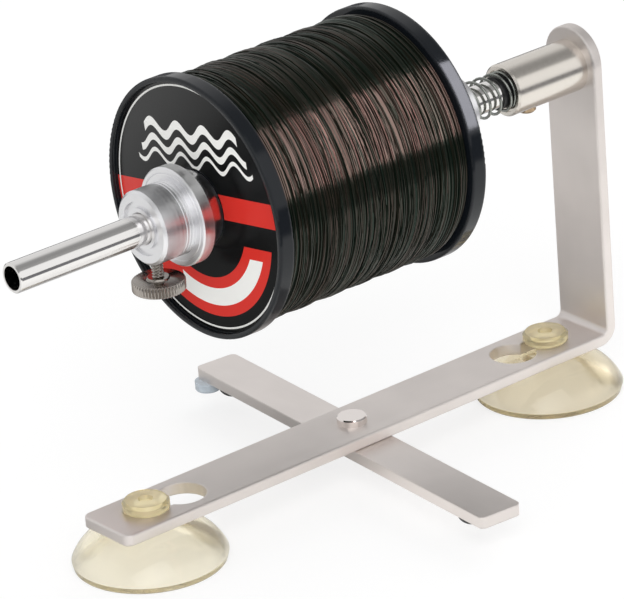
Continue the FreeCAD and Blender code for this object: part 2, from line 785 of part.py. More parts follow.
def drag_spring():
    """The compression spring between the housing and the rear hub."""
    wire = size.spring_wire / 2
    back = housing_face + size.spring_seat_depth - wire - size.stack_gap
    hub_end = rear_hub_place + size.hub_flange_thickness + size.rear_collar_length
    front = hub_end + wire + size.stack_gap
    coil_radius = size.spring_diameter / 2 - wire
    coil = document.addObject("Part::Helix", "spring_coil")
    bind(coil, "Pitch", size.spring_pitch)
    bind(coil, "Height", back - front)
    bind(coil, "Radius", coil_radius)
    section = document.addObject("Part::Circle", "spring_section")
    bind(section, "Radius", wire)
    section.Placement.Rotation = FreeCAD.Rotation(FreeCAD.Vector(1, 0, 0), QUARTER_TURN)
    bind(section, "Placement.Base.x", coil_radius)
    sweep = document.addObject("Part::Sweep", "drag_spring")
    sweep.Label = "drag_spring"
    sweep.Sections = [section]
    sweep.Spine = (coil, [])
    sweep.Solid = True
    sweep.Frenet = True
    sweep.Placement.Rotation = FreeCAD.Rotation(FreeCAD.Vector(0, 1, 0), QUARTER_TURN)
    place(sweep, x=front, z=axis_height)
    return sweep


def thumb_screw():
    """The knurled screw that locks the front hub on the shaft."""
    stud = size.thumb_stud_diameter / 2
    boss = size.thumb_boss_diameter / 2
    head = size.thumb_head_diameter / 2
    edge = size.thumb_head_edge
    near = -size.thumb_head_drop
    far = near - size.thumb_head_height
    body = turned("thumb_screw", "Z", [
        (0, far),
        (head - edge, far),
        (head, far + edge),
        (head, near - edge),
        (head - edge, near),
        (boss, near),
        (boss, near + size.thumb_boss_height),
        (stud, near + size.thumb_boss_height),
        (stud, -screw_tip),
        (0, -screw_tip),
    ])
    hub_length = size.hub_flange_thickness + size.front_collar_length
    place(body, x=front_hub_place - hub_length + size.thumb_screw_setback, z=axis_height)


def spool_flange(name, outward, rim_plane):
    """A moulded flange: a web with a raised rim around its outer face."""
    rim_inner = size.spool_radius - size.spool_rim_wall
    edge = size.spool_rim_edge
    depth = -size.spool_rim_width
    turn = LEFT_TURN * outward
    outline = [
        (as_length(0), rim_inner),
        (as_length(0), size.spool_radius - edge),
        (-edge, size.spool_radius),
        (depth + edge, size.spool_radius),
        (depth, size.spool_radius - edge),
        (depth, size.spool_bore_radius),
        (-size.spool_recess, size.spool_bore_radius),
        (-size.spool_recess, rim_inner),
    ]
    rounded = (1, 3)
    corners = []
    for number, (along, radius) in enumerate(outline):
        corner = (along * outward, radius)
        corners.append(corner + (edge, turn) if number in rounded else corner)
    body = turned(name, "X", corners)
    place(body, x=rim_plane, z=axis_height)


def spool_core():
    """The tube that joins the spool's flanges."""
    length = size.spool_width - size.spool_rim_width * 2
    body = turned("spool_core", "X", [
        (0, size.core_inner_radius),
        (length, size.core_inner_radius),
        (length, size.core_outer_radius),
        (0, size.core_outer_radius),
    ])
    place(body, x=spool_front + size.spool_rim_width, z=axis_height)


def line_winding():
    """The wound line: a thick layer whose outside is laid in low mounds along the spool."""
    gap = size.winding_gap
    inner = size.core_outer_radius + gap
    length = size.spool_width - size.spool_rim_width * 2 - gap * 2
    mound = length / WINDING_MOUNDS
    valley = size.winding_radius - size.winding_valley_depth
    bulge = (mound * mound / 4 / size.winding_valley_depth + size.winding_valley_depth) / 2
    crests = [(mound * number, valley, bulge, RIGHT_TURN) for number in range(WINDING_MOUNDS)]
    body = turned("line_winding", "X", [(0, inner), *crests, (length, valley), (length, inner)])
    place(body, x=spool_front + size.spool_rim_width + gap, z=axis_height)


def front_label():
    """The printed disc in the front flange's recess."""
    outer = size.spool_radius - size.spool_rim_wall - size.label_margin
    body = turned("front_label", "X", [
        (0, size.label_hole_radius),
        (size.label_thickness, size.label_hole_radius),
        (size.label_thickness, outer),
        (0, outer),
    ])
    place(body, x=spool_front + size.spool_recess - size.label_thickness, z=axis_height)


def build_all():
    base_bracket()
    pivot_rivet()
    cross_bar()
    rubber_foot("left_rubber_foot", 1)
    rubber_foot("right_rubber_foot", -1)
    clear_pad()
    suction_cup("front_suction_cup", front_cup_seat)
    suction_cup("rear_suction_cup", rear_cup_seat)
    shaft_housing()
    shaft_bush()
    housing_bolt()
    housing_washer()
    housing_lock_screw()
    shaft()
    front_hub()
    thumb_screw()
    rear_hub()
    drag_spring()
    spool_flange("spool_front_flange", -1, spool_front)
    spool_flange("spool_rear_flange", 1, spool_rear)
    spool_core()
    line_winding()
    front_label()


def sub_parts():
    """The objects that are sub-parts: every body, and the swept spring."""
    kinds = ("PartDesign::Body", "Part::Sweep")
    return [thing for thing in document.Objects if thing.TypeId in kinds]


def check_all():
    """Stop if anything failed to compute or came out as anything but one valid solid."""
    for thing in document.Objects:
        if {"Invalid", "Error"} & set(thing.State):
            raise RuntimeError(f"{thing.Name} failed: {thing.State}")
        if thing.TypeId == "Sketcher::SketchObject" and not thing.FullyConstrained:
            raise RuntimeError(f"{thing.Name} is not fully constrained")
    for part in sub_parts():
        if part.Shape.isNull() or not part.Shape.isValid() or len(part.Shape.Solids) != 1:
            raise RuntimeError(f"{part.Label} is not one valid solid")


def export_all():
    os.makedirs("parts", exist_ok=True)
    for part in sub_parts():
        part.Shape.exportStep(f"parts/{part.Label}.step")


build_all()
document.recompute()
check_all()
export_all()
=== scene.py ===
import math
import random

import bpy
import numpy as np
from mathutils import Matrix, Vector


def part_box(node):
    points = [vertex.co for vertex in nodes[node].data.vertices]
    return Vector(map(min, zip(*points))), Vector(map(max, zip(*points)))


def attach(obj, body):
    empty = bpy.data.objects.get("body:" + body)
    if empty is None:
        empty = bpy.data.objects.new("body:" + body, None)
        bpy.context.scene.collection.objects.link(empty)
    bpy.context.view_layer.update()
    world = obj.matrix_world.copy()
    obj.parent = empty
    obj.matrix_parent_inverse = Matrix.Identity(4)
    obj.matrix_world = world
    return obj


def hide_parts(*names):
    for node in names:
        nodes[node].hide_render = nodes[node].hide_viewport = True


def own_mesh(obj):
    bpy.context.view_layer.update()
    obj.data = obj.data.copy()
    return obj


bl_info = {
    "name": "Fishing line winder",
    "version": (1, 0, 0),
    "blender": (4, 5, 0),
    "location": "3D View > Sidebar > Line Winder",
    "description": (
        "Finishes, wound line, spring, knurled screw and studio for a fishing line winder"
    ),
    "category": "Object",
}

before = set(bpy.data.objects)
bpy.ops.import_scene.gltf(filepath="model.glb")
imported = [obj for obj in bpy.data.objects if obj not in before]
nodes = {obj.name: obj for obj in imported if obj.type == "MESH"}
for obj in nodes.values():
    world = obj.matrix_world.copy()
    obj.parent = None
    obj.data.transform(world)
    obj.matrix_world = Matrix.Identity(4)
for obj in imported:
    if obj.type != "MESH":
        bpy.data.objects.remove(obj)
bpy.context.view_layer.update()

MM = 0.001
SHAFT_AXIS = sum(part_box("shaft"), Vector()).z / 2


# What a user may change


def linear(code):
    """An sRGB hex colour as the linear RGBA that shaders take."""
    channels = [int(code[start:start + 2], 16) / 255 for start in (1, 3, 5)]
    return [c / 12.92 if c <= 0.04045 else ((c + 0.055) / 1.055) ** 2.4 for c in channels] + [1.0]


def colour(name, description, code):
    return bpy.props.FloatVectorProperty(
        name=name, description=description, subtype="COLOR", size=4, min=0, max=1,
        default=linear(code),
    )


def length(name, description, millimetres):
    return bpy.props.FloatProperty(
        name=name, description=description, subtype="DISTANCE", unit="LENGTH", min=0,
        default=millimetres * MM,
    )


def count(name, description, number):
    return bpy.props.IntProperty(name=name, description=description, min=3, default=number)


def camera_angle(name, description, degrees):
    return bpy.props.FloatProperty(
        name=name, description=description, subtype="ANGLE", default=math.radians(degrees)
    )


def power(name, description, watts):
    return bpy.props.FloatProperty(
        name=name, description=description, unit="POWER", min=0, default=watts
    )


class WinderColours(bpy.types.PropertyGroup):
    """Colours of the winder's finishes."""

    bar: colour("Flat bar", "Satin anodised aluminium of the two bars", "#f1eae6")
    turned: colour("Hubs", "Turned aluminium of the hubs", "#f0f0f2")
    housing: colour("Housing", "Turned and clear anodised aluminium of the housing", "#e2dcd4")
    tube: colour("Shaft", "Polished aluminium of the tube shaft", "#eceae8")
    zinc: colour("Plated steel", "Zinc plate on the bolt and the washer", "#c9c9c4")
    wire: colour("Spring", "Dull zinc plate on the spring's wire", "#9a9d98")
    nickel: colour("Thumb screw", "Black nickel plate on the thumb screw", "#a39d97")
    brass: colour("Lock screw", "Brass of the housing's lock screw", "#b9a184")
    spool: colour("Spool", "Black polystyrene of the spool", "#12161b")
    line_dark: colour("Line", "Darkest strands of the wound line", "#08140e")
    line_brown: colour("Line, brown", "Brownest strands of the wound line", "#221c15")
    glint_dark: colour("Line's glint", "Greenish grey glint of the darkest strands", "#a6c6b4")
    glint_brown: colour("Line's glint, brown", "Pinkish glint of the brownest strands", "#fbd8cd")
    label_ground: colour("Label", "Ground of the spool's label", "#0d0e0f")
    label_red: colour("Label, red", "Red ink of the label", "#d8342c")
    label_white: colour("Label, white", "White ink of the label", "#f4f4f1")
    cup: colour("Suction cups", "Clear soft PVC of the cups, where light passes through", "#f3e7b6")
    head: colour("Cups' heads", "Skin of the cups' thick heads", "#f8ecc2")
    bell: colour("Front cup's bell", "Skin of the front cup's thin bell", "#fbf6e6")
    # painted shade: the rear bell's skin is darker and yellower than the front one's, standing in
    # for the shade that the rear cup lies in
    bell_painted_shade: colour("Rear cup's bell", "Skin of the rear bell, yellowed by age", "#e8dfca")
    pad: colour("Clear pad", "Clear polyurethane of the pad", "#eaf5ff")
    rubber: colour("Feet and bush", "Black rubber of the feet and acetal of the bush", "#17181a")


class WinderSizes(bpy.types.PropertyGroup):
    """Sizes of what is wound, coiled and knurled."""

    strand: length("Strand", "Thickness that one strand of line is drawn with", 0.49)
    strands: count("Turns", "Turns of line that show on the outside of the winding", 230)
    crossings: count("Crossing turns", "Turns of line that run across the others", 60)
    lean: length("Lean", "How far along the spool a turn of line wanders", 2.0)
    mounds: count("Mounds", "Low mounds that the winding is laid in along the spool", 6)
    valley: length("Valleys", "Depth of the valleys between those mounds", 0.9)
    spring_wire: length("Spring wire", "Wire of the drag spring", 1.25)
    spring_diameter: length("Spring diameter", "Outer diameter of the drag spring", 17.6)
    knurls: count("Knurls", "Ridges round the thumb screw's head", 50)
    knurl_depth: length("Knurl depth", "Depth of those ridges", 0.8)
    thread_pitch: length("Thread pitch", "Pitch of the thumb screw's thread", 1.25)


class WinderStudio(bpy.types.PropertyGroup):
    """Camera, lamps and floor."""

    lens: bpy.props.FloatProperty(
        name="Lens", description="Focal length", unit="CAMERA", min=1, default=298.85
    )
    azimuth: camera_angle("Azimuth", "Camera's bearing round the winder", -37.99)
    elevation: camera_angle("Elevation", "Camera's height angle", 23.72)
    roll: camera_angle("Roll", "Camera's turn about its view", -4.47)
    place: bpy.props.FloatVectorProperty(
        name="Place", description="Where the camera stands", subtype="TRANSLATION", size=3,
        default=(-1.19374, -1.52208, 0.93183),
    )
    surroundings: bpy.props.FloatProperty(
        name="Surroundings", description="Even light from all round", min=0, default=0.62
    )
    key: power("Key lamp", "Power of the large soft lamp", 19.0)
    fill: power("Fill lamp", "Power of the lamp on the other side", 7.0)
    line_box: power("Line's soft box", "Power of the box that the line mirrors", 105.0)
    line_box_tint: colour("Line's soft box, tint", "Light of that box", "#ffd3d4")
    rim_box: power("Rim's soft box", "Power of the box that the rear rim mirrors", 76.0)
    rim_box_tint: colour("Rim's soft box, tint", "Light of that box", "#f4f4ff")
    board: colour("Floor", "Matt white board of the floor", "#ebebea")
    board_dim: colour("Floor, dim", "The board as gloss sees it where it ends", "#68686b")


# Shader building

# sockets of a Mix node that mixes colours, which share their names with its other sockets
SHARE, FIRST, SECOND, MIXED = 0, 6, 7, 2
# a noise hardly leaves this span, so it is stretched from it
NOISE_SPAN = {"From Min": 0.3, "From Max": 0.7}


def add_node(tree, kind, inputs=None, **settings):
    """Add a shader node, apply its settings, and fill its inputs with values or links."""
    made = tree.nodes.new("ShaderNode" + kind)
    for name, value in settings.items():
        setattr(made, name, value)
    for key, value in (inputs or {}).items():
        if isinstance(value, bpy.types.Node):
            value = value.outputs[0]
        if isinstance(value, bpy.types.NodeSocket):
            tree.links.new(value, made.inputs[key])
        else:
            made.inputs[key].default_value = value
    return made


def new_material(name, **sockets):
    """A material with its Principled shader, whose plain sockets are set straight away."""
    material = bpy.data.materials.new(name)
    material.use_nodes = True
    tree = material.node_tree
    shader = tree.nodes["Principled BSDF"]
    for socket, value in sockets.items():
        shader.inputs[socket.replace("_", " ")].default_value = value
    return material, tree, shader


def uneven_gloss(tree, shader, noise, smooth, rough):
    """Let the roughness follow a noise from one value to the other."""
    gloss = add_node(tree, "MapRange", {
        "Value": noise, **NOISE_SPAN, "To Min": smooth, "To Max": rough,
    })
    tree.links.new(gloss.outputs[0], shader.inputs["Roughness"])


# Noise scales are given as grains to a millimetre, divided by MM.


def satin_aluminium(name, tint, grain, smear):
    """Flat bar, brushed and clear anodised: a satin that smears its gloss across the brushing."""
    material, tree, shader = new_material(name, Metallic=1.0, Anisotropic=0.8)
    across = add_node(tree, "CombineXYZ", dict(zip("XYZ", smear)))
    tree.links.new(across.outputs[0], shader.inputs["Tangent"])
    place = add_node(tree, "TexCoord").outputs["Object"]
    streak = add_node(tree, "TexNoise", {
        "Vector": add_node(tree, "Mapping", {"Vector": place, "Scale": grain}),
        "Scale": 1.0, "Detail": 3.0, "Roughness": 0.6,
    })
    uneven_gloss(tree, shader, streak, 0.40, 0.48)
    # the anodic film is a little darker in clouds about 26 mm across
    cloud = add_node(tree, "TexNoise", {"Vector": place, "Scale": 0.038 / MM, "Detail": 2.0})
    clouded = [channel * 0.93 for channel in tint[:3]] + [1.0]
    shade = add_node(tree, "Mix", {
        SHARE: add_node(tree, "MapRange", {"Value": cloud, **NOISE_SPAN}),
        FIRST: tint, SECOND: clouded,
    }, data_type="RGBA")
    tree.links.new(shade.outputs[MIXED], shader.inputs["Base Color"])
    # tumbling leaves the bar's edges round by about 1 mm
    edges = add_node(tree, "Bevel", {"Radius": 1.1 * MM}, samples=4)
    bump = add_node(tree, "Bump", {
        "Height": streak, "Strength": 0.06, "Distance": 0.2 * MM, "Normal": edges,
    })
    tree.links.new(bump.outputs[0], shader.inputs["Normal"])
    return material


def turned_place(tree):
    """Texture place (along the axis, distance from it) that follows a lathe tool's path."""
    place = add_node(tree, "TexCoord").outputs["Object"]
    parts = add_node(tree, "SeparateXYZ", {"Vector": place})
    up = add_node(tree, "Math", {0: parts.outputs["Z"], 1: SHAFT_AXIS}, operation="SUBTRACT")
    spoke = add_node(tree, "CombineXYZ", {"X": parts.outputs["Y"], "Y": up})
    reach = add_node(tree, "VectorMath", {0: spoke}, operation="LENGTH").outputs["Value"]
    return add_node(tree, "CombineXYZ", {"X": parts.outputs["X"], "Y": reach})


def turned_aluminium(name, tint, smooth, rough, mark):
    """Aluminium turned on a lathe: bright, with fine rings left by the tool."""
    material, tree, shader = new_material(name, Metallic=1.0, Base_Color=tint)
    # tool marks about 1 mm apart, drawn coarser than the real 0.1 mm so that they show
    rings = add_node(tree, "TexNoise", {
        "Vector": turned_place(tree), "Scale": 0.9 / MM, "Detail": 1.0,
    })
    uneven_gloss(tree, shader, rings, smooth, rough)
    bump = add_node(tree, "Bump", {"Height": rings, "Strength": mark, "Distance": 0.1 * MM})
    tree.links.new(bump.outputs[0], shader.inputs["Normal"])
    return material


def drawn_aluminium(name, tint):
    """Drawn and polished tube: mirror-like, with faint hair lines along it."""
    material, tree, shader = new_material(name, Metallic=1.0, Base_Color=tint)
    place = add_node(tree, "TexCoord").outputs["Object"]
    # hair lines 40 mm long and 0.5 mm apart, drawn coarser than the real 0.1 mm
    along, across = 0.025 / MM, 2.2 / MM
    hairs = add_node(tree, "TexNoise", {
        "Vector": add_node(tree, "Mapping", {"Vector": place, "Scale": (along, across, across)}),
        "Scale": 1.0, "Detail": 2.0,
    })
    uneven_gloss(tree, shader, hairs, 0.07, 0.15)
    return material


def plated_steel(name, tint, smooth, rough):
    """Steel with a bright electroplated coat: a little uneven in gloss."""
    material, tree, shader = new_material(name, Metallic=1.0, Base_Color=tint)
    place = add_node(tree, "TexCoord").outputs["Object"]
    # the coat's unevenness is about 1 mm across
    mottle = add_node(tree, "TexNoise", {"Vector": place, "Scale": 0.9 / MM, "Detail": 3.0})
    uneven_gloss(tree, shader, mottle, smooth, rough)
    return material


def moulded_polystyrene(name, tint):
    """Injection-moulded black polystyrene: deep gloss with a faint waviness."""
    material, tree, shader = new_material(name, Base_Color=tint, IOR=1.59, Specular_IOR_Level=0.24)
    place = add_node(tree, "TexCoord").outputs["Object"]
    # shrinkage in the mould leaves waves about 8 mm long
    wave = add_node(tree, "TexNoise", {"Vector": place, "Scale": 0.12 / MM, "Detail": 1.0})
    uneven_gloss(tree, shader, wave, 0.09, 0.14)
    # the mould rounds the flanges' edges by about 1.5 mm
    edges = add_node(tree, "Bevel", {"Radius": 1.4 * MM}, samples=4)
    bump = add_node(tree, "Bump", {
        "Height": wave, "Strength": 0.05, "Distance": 0.3 * MM, "Normal": edges,
    })
    tree.links.new(bump.outputs[0], shader.inputs["Normal"])
    return material


def moulded_acetal(name, tint):
    """Moulded acetal: matt black with a fine grain of about 0.3 mm."""
    material, tree, shader = new_material(name, Base_Color=tint, IOR=1.48)
    place = add_node(tree, "TexCoord").outputs["Object"]
    grain = add_node(tree, "TexNoise", {"Vector": place, "Scale": 3.0 / MM, "Detail": 2.0})
    uneven_gloss(tree, shader, grain, 0.35, 0.5)
    return material


def nylon_line(name, colours):
    """Extruded nylon monofilament: glossy threads, each of its own shade and wear."""
    material, tree, shader = new_material(name, IOR=1.53)
    shade = add_node(tree, "Attribute", attribute_name="strand_shade").outputs["Fac"]
    wear = add_node(tree, "Attribute", attribute_name="strand_wear").outputs["Fac"]
    place = add_node(tree, "TexCoord").outputs["Object"]
    # the tint drifts along a strand over about 12 mm
    drift = add_node(tree, "TexNoise", {"Vector": place, "Scale": 0.085 / MM, "Detail": 2.0})
    fade = add_node(tree, "MapRange", {"Value": drift, **NOISE_SPAN, "To Min": 0.2, "To Max": 0.9})
    amount = add_node(tree, "Math", {0: shade, 1: fade}, operation="MULTIPLY")
    tint = add_node(tree, "Mix", {
        SHARE: amount, FIRST: colours.line_dark, SECOND: colours.line_brown,
    }, data_type="RGBA")
    tree.links.new(tint.outputs[MIXED], shader.inputs["Base Color"])
    glint = add_node(tree, "Mix", {
        SHARE: shade, FIRST: colours.glint_dark, SECOND: colours.glint_brown,
    }, data_type="RGBA")
    tree.links.new(glint.outputs[MIXED], shader.inputs["Specular Tint"])
    # worn strands are duller and scatter their gloss more
    gloss = add_node(tree, "MapRange", {
        "Value": wear, "From Min": 0.2, "From Max": 0.8, "To Min": 0.05, "To Max": 0.26,
    })
    tree.links.new(gloss.outputs[0], shader.inputs["Roughness"])
    sheen = add_node(tree, "MapRange", {
        "Value": wear, "From Min": 0.3, "From Max": 0.7, "To Min": 1.0, "To Max": 0.05,
    })
    tree.links.new(sheen.outputs[0], shader.inputs["Specular IOR Level"])
    return material


def soft_pvc(name, tint, bell, head):
    """Moulded clear soft PVC: see-through, slightly yellow where it is thick."""
    material, tree, shader = new_material(name, IOR=1.53)
    place = add_node(tree, "TexCoord").outputs["Object"]
    # haze in patches about 6 mm across
    haze = add_node(tree, "TexNoise", {"Vector": place, "Scale": 0.16 / MM, "Detail": 3.0})
    uneven_gloss(tree, shader, haze, 0.06, 0.14)
    # the thick heads, above the bar, are milkier than the thin bells
    thick = add_node(tree, "MapRange", {
        "Value": add_node(tree, "SeparateXYZ", {"Vector": place}).outputs["Z"],
        "From Min": 22.0 * MM, "From Max": 23.2 * MM,
    })
    clear = add_node(tree, "MapRange", {"Value": thick, "To Min": 0.97, "To Max": 0.66})
    tree.links.new(clear.outputs[0], shader.inputs["Transmission Weight"])
    skin = add_node(tree, "Mix", {SHARE: thick, FIRST: bell, SECOND: head}, data_type="RGBA")
    tree.links.new(skin.outputs[MIXED], shader.inputs["Base Color"])
    tint_inside = add_node(tree, "VolumeAbsorption", {"Color": tint, "Density": 18.0})
    tree.links.new(tint_inside.outputs[0], tree.nodes["Material Output"].inputs["Volume"])
    return material


def clear_polyurethane(name, tint):
    """Cast clear polyurethane: a bluish, glossy drop."""
    material, tree, shader = new_material(name, Base_Color=tint, IOR=1.5, Transmission_Weight=0.3)
    place = add_node(tree, "TexCoord").outputs["Object"]
    # haze in patches of 2.5 mm
    haze = add_node(tree, "TexNoise", {"Vector": place, "Scale": 0.4 / MM, "Detail": 2.0})
    uneven_gloss(tree, shader, haze, 0.05, 0.15)
    return material


def moulded_rubber(name, tint):
    """Moulded black rubber: matt, with a fine grain of about 0.4 mm."""
    material, tree, shader = new_material(name, Base_Color=tint, IOR=1.52)
    place = add_node(tree, "TexCoord").outputs["Object"]
    grain = add_node(tree, "TexNoise", {"Vector": place, "Scale": 2.5 / MM, "Detail": 2.0})
    uneven_gloss(tree, shader, grain, 0.45, 0.62)
    bump = add_node(tree, "Bump", {"Height": grain, "Strength": 0.2, "Distance": 0.1 * MM})
    tree.links.new(bump.outputs[0], shader.inputs["Normal"])
    return material


def finish_node(name, material):
    """Give a carried-over solid its better material."""
    slots = nodes[name].data.materials
    slots.clear()
    slots.append(material)


# Mesh building


def new_piece(name, points, faces, material, body):
    """A smooth-shaded mesh piece that rides on a body of the winder."""
    mesh = bpy.data.meshes.new(name)
    mesh.from_pydata(points.reshape(-1, 3).tolist(), [], faces)
    mesh.update()
    mesh.materials.append(material)
    mesh.polygons.foreach_set("use_smooth", [True] * len(mesh.polygons))
    piece = bpy.data.objects.new(name, mesh)
    bpy.context.scene.collection.objects.link(piece)
    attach(piece, body)
    return piece


def grid_faces(rows, columns, close_rows=False, start=0):
    """Quads over a grid of points, joined round its columns and, if wanted, its rows."""
    faces = []
    for row in range(rows if close_rows else rows - 1):
        below = (row + 1) % rows
        for column in range(columns):
            beside = (column + 1) % columns
            faces.append((
                start + row * columns + column,
                start + row * columns + beside,
                start + below * columns + beside,
                start + below * columns + column,
            ))
    return faces


def around(number):
    """Evenly spaced angles of a full turn."""
    return np.arange(number) * 2 * math.pi / number


# The winder's own pieces


def wind_line(sizes, material):
    """Turns of line round the spool in low mounds, leaning in bundles, with a few laid across."""
    low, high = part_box("line_winding")
    crest = (high.z - low.z) / 2
    strand = sizes.strand / 2
    rng = random.Random(11)
    steps, sides = 64, 4
    # a turn ripples over those below it, and lies at most so far below the outermost
    ripple, ripples, deepest = 0.07 * MM, 5, -0.35 * MM
    angle = around(steps)[:, None]
    section = around(sides)[None, :]
    points, faces, shades, wears = [], [], [], []

    def mound_radius(along):
        share = (along - low.x) / (high.x - low.x) * sizes.mounds % 1
        return crest - sizes.valley * (2 * share - 1) ** 2

    def lay_turn(middle, lean, phase, thick, lift, shade, wear):
        room = max(min(middle - low.x, high.x - middle) - thick, 0)
        along = middle + min(lean, room) * np.sin(angle + phase)
        wander = ripple * np.sin(ripples * angle + rng.uniform(0, 2 * math.pi))
        outwards = mound_radius(along) - thick + lift + wander
        radius = outwards + thick * np.cos(section)
        ring = np.stack([
            along + thick * np.sin(section),
            radius * np.cos(angle),
            SHAFT_AXIS + radius * np.sin(angle),
        ], axis=-1)
        faces.extend(grid_faces(steps, sides, close_rows=True, start=len(shades)))
        points.append(ring.reshape(-1, 3))
        shades.extend([shade] * (steps * sides))
        wears.extend([wear] * (steps * sides))

    bundle = 0
    span = high.x - low.x - 2 * strand
    for turn in range(sizes.strands):
        if bundle == 0:
            bundle = rng.randint(3, 9)
            lean = rng.uniform(0.1, 1.0) * sizes.lean
            phase = rng.uniform(0, 2 * math.pi)
        bundle -= 1
        middle = low.x + strand + span * (turn + 0.5 + rng.uniform(-0.5, 0.5)) / sizes.strands
        lay_turn(
            middle,
            lean * rng.uniform(0.8, 1.2),
            phase + rng.uniform(-0.2, 0.2),
            strand * rng.uniform(0.75, 1.1),
            rng.uniform(deepest, 0.0),
            rng.random(),
            rng.random(),
        )
    # the crossing turns are thinner and keep clear of the flanges
    clearance = 6 * MM
    for _ in range(sizes.crossings):
        lay_turn(
            rng.uniform(low.x + clearance, high.x - clearance),
            rng.uniform(1.0, 2.4) * sizes.lean,
            rng.uniform(0, 2 * math.pi),
            strand * rng.uniform(0.5, 0.7),
            rng.uniform(-0.1, 0.05) * MM,
            rng.random(),
            rng.random(),
        )
    # the turns underneath, which close what shows between the outer ones
    stations, sunk, bed_shade, bed_wear = 49, 0.7 * MM, 0.4, 0.5
    along = np.linspace(low.x, high.x, stations)[:, None]
    hole_radius = 0.45 * crest
    hole = np.full((1, 1), hole_radius)
    inner = np.concatenate([hole, mound_radius(along) - sunk, hole])
    along = np.concatenate([along[:1], along, along[-1:]])
    bed = np.stack([
        along + 0 * angle.T,
        inner * np.cos(angle.T),
        SHAFT_AXIS + inner * np.sin(angle.T),
    ], axis=-1)
    faces += grid_faces(len(inner), steps, start=len(shades))
    points.append(bed.reshape(-1, 3))
    shades += [bed_shade] * (len(inner) * steps)
    wears += [bed_wear] * (len(inner) * steps)
    piece = new_piece(
        "wound_line_turns", np.concatenate(points), faces, material, "spool",
    )
    for name, values in (("strand_shade", shades), ("strand_wear", wears)):
        layer = piece.data.attributes.new(name, "FLOAT", "POINT")
        layer.data.foreach_set("value", values)
    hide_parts("line_winding")


def coil_spring(sizes, material):
    """The drag spring with its first and last turn closed against what it presses on."""
    wire = sizes.spring_wire / 2
    coil = sizes.spring_diameter / 2 - wire
    low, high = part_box("drag_spring")
    front, back = low.x + wire, high.x - wire
    closed_turns, open_turns, steps, sides = 0.9, 3.8, 26, 12
    # the closed turns all but touch each other
    closed_pitch = 2.1 * wire
    turns = 2 * closed_turns + open_turns
    number = int(turns * steps) + 1
    turn = np.linspace(0, turns, number)
    end_rise = closed_pitch * closed_turns
    open_pitch = (back - front - 2 * end_rise) / open_turns
    along = np.interp(
        turn,
        [0, closed_turns, closed_turns + open_turns, turns],
        [front, front + end_rise, back - end_rise, back],
    )
    # the pitch changes gently, over this many steps
    easing = 9
    along = np.convolve(
        np.pad(along, easing // 2, mode="edge"), np.ones(easing) / easing, mode="valid",
    )
    angle = turn * 2 * math.pi
    section = around(sides)
    tilt = math.atan(open_pitch / (2 * math.pi * coil))
    outward = np.stack([np.zeros(number), np.cos(angle), np.sin(angle)], axis=-1)
    sideways = np.stack([
        np.full(number, math.cos(tilt)),
        math.sin(tilt) * np.sin(angle),
        -math.sin(tilt) * np.cos(angle),
    ], axis=-1)
    centre = np.stack([along, coil * np.cos(angle), SHAFT_AXIS + coil * np.sin(angle)], axis=-1)
    points = (
        centre[:, None, :]
        + wire * np.cos(section)[None, :, None] * outward[:, None, :]
        + wire * np.sin(section)[None, :, None] * sideways[:, None, :]
    )
    faces = grid_faces(number, sides)
    faces.append(tuple(range(sides)))
    faces.append(tuple((number - 1) * sides + corner for corner in reversed(range(sides))))
    piece = new_piece("drag_spring_coils", points, faces, material, "frame")
    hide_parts("drag_spring")
    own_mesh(piece)


